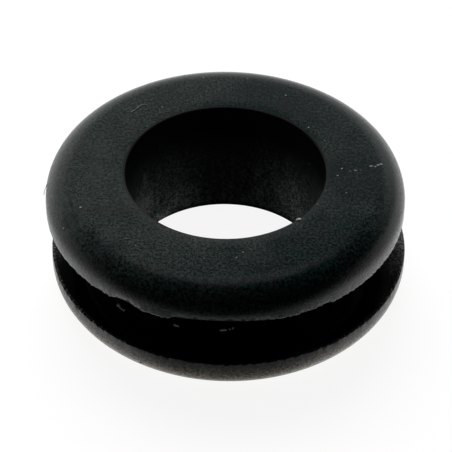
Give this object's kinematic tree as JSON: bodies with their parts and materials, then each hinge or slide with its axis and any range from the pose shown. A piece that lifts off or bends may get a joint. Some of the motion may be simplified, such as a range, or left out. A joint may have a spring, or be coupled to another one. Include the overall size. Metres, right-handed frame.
{
  "type": "rubber grommet",
  "caption": "Open rubber grommet: round flanges with rolled edges on a short neck, a panel groove between them and a plain bore that a cable passes through.",
  "frame": {"origin": "on the bore's axis, in the plane of the lower flange's flat face, which the grommet rests on", "axes": "+Z along the bore, from the lower flange's face to the upper flange's face; +X the way the lower flange sits off the bore's axis; +Y completes the frame, away from the near side"},
  "size_m": [0.0182, 0.018, 0.0066],
  "materials": {
    "moulded_rubber": "matt moulded black rubber, with a fine grain, a faint sheen on the rolled edges and light dust"
  },
  "bodies": {
    "root": {"grommet": "moulded_rubber"}
  },
  "joints": []
}
